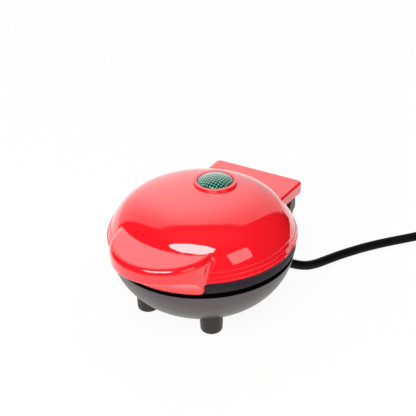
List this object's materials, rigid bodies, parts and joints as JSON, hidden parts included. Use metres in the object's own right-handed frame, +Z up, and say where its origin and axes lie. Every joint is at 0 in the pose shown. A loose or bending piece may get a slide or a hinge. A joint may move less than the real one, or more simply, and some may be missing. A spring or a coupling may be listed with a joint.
{
  "type": "mini waffle maker",
  "caption": "Small round countertop waffle maker with a red domed lid on a rear hinge, crescent front handle, lamp lens, grey bowl base, four feet and a coiled mains lead.",
  "frame": {"origin": "on the worktop, on the axis of the round cooking plates, midway between the front of the handle and the rear of the hinge cover", "axes": "+Z up, +Y to the hinge at the rear, +X to the side where the cord leaves"},
  "size_m": [0.2659, 0.2641, 0.0848],
  "materials": {
    "lid_red": "glossy injection-moulded red",
    "base_grey": "satin warm grey paint on a moulding",
    "lens_green": "clear green, prismatic dimples",
    "bezel_black": "fine-grained black",
    "nonstick": "black non-stick coat",
    "heater_steel": "heat-dulled steel tube",
    "shield_aluminium": "mill finish sheet",
    "screw_steel": "zinc-plated",
    "thermostat_body": "moulded bakelite and steel cap",
    "fuse_metal": "drawn case",
    "lamp_glass": "clear neon lamp",
    "foot_rubber": "dull dark brown-grey",
    "cord_black": "smooth black lead sheath",
    "plug_black": "moulded black",
    "tie_black": "soft black strap",
    "blade_brass": "nickel-washed brass",
    "lead_silicone": "silicone sleeve"
  },
  "bodies": {
    "base": {"base_shell": "base_grey", "cord_coil": "cord_black", "cord_gland": "cord_black", "cord_tie": "tie_black", "foot_front_left": "foot_rubber", "foot_front_right": "foot_rubber", "foot_rear_left": "foot_rubber", "foot_rear_right": "foot_rubber", "hinge_pin_left": "screw_steel", "hinge_pin_right": "screw_steel", "lead_live": "lead_silicone", "lead_neutral": "lead_silicone", "lower_bezel": "bezel_black", "lower_element": "heater_steel", "lower_plate": "nonstick", "lower_reflector": "shield_aluminium", "lower_reflector_screw": "screw_steel", "lower_screw_1": "screw_steel", "lower_screw_2": "screw_steel", "lower_screw_3": "screw_steel", "lower_screw_4": "screw_steel", "plug_blade_left": "blade_brass", "plug_blade_right": "blade_brass", "plug_body": "plug_black", "power_cord": "cord_black", "thermostat": "thermostat_body"},
    "lid": {"lid_shell": "lid_red", "indicator_lens": "lens_green", "lamp_holder": "bezel_black", "indicator_lamp": "lamp_glass", "upper_bezel": "bezel_black", "upper_plate": "nonstick", "upper_element": "heater_steel", "upper_reflector": "shield_aluminium", "upper_reflector_screw": "screw_steel", "thermal_fuse": "fuse_metal", "upper_screw_1": "screw_steel", "upper_screw_2": "screw_steel", "upper_screw_3": "screw_steel", "upper_screw_4": "screw_steel"}
  },
  "joints": [
    {"name": "lid_hinge", "type": "hinge", "parent": "base", "child": "lid", "pos_m": [0, 0.07, 0.0477], "axis": [-1, 0, 0], "range_deg": [0, 100]}
  ]
}
